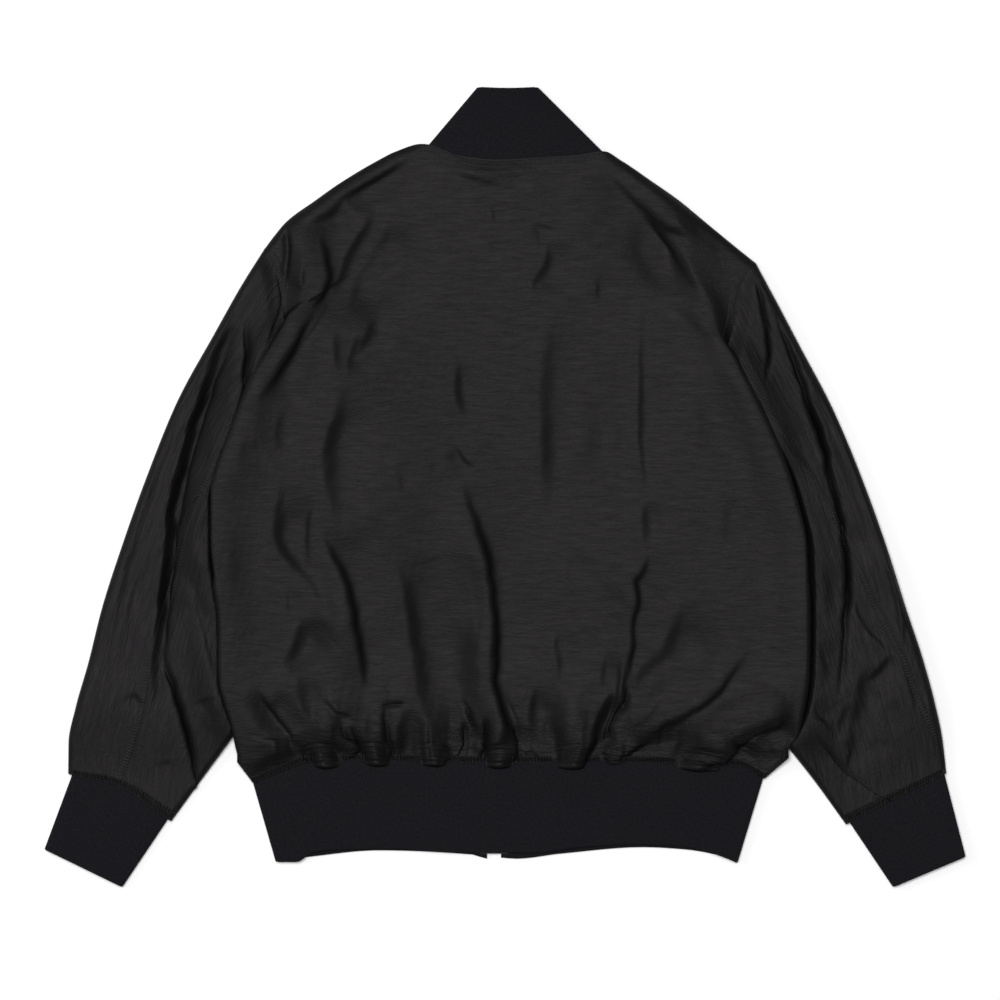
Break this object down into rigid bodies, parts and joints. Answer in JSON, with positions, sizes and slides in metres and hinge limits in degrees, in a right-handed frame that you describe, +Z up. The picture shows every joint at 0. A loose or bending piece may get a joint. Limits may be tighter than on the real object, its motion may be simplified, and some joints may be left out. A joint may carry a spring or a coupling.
{
  "type": "reversible track jacket",
  "caption": "Black bomber-style jacket with rib collar, cuffs and hem band, laid flat face down: gathered back panel, two-piece sleeves beside it and a closed front zip underneath.",
  "frame": {"origin": "centre of the bounding box in plan, on the surface that the jacket lies on", "axes": "+X to the right as seen from above (the wearer's right), +Y from the hem to the collar, +Z up from the surface, out of the jacket's back"},
  "size_m": [0.876, 0.761, 0.024],
  "materials": {
    "shell": "crinkled woven nylon, soft sheen",
    "rib": "matte fine rib knit",
    "zip_tape": "matte woven tape",
    "zip_metal": "dark coated metal"
  },
  "bodies": {
    "jacket": {"back": "shell", "front_left": "shell", "front_right": "shell", "sleeve_outer_left": "shell", "sleeve_inner_left": "shell", "sleeve_outer_right": "shell", "sleeve_inner_right": "shell", "cuff_left": "rib", "cuff_right": "rib", "hem_rib": "rib", "collar_rib": "rib", "zip_tape_left": "zip_tape", "zip_tape_right": "zip_tape", "zip_slider": "zip_metal"},
    "pull": {"zip_pull": "zip_metal"}
  },
  "joints": [
    {"name": "pull_hinge", "type": "hinge", "parent": "jacket", "child": "pull", "pos_m": [-0.0105, 0.2895, 0.00185], "axis": [1, 0, 0], "range_deg": [0, 180]}
  ]
}
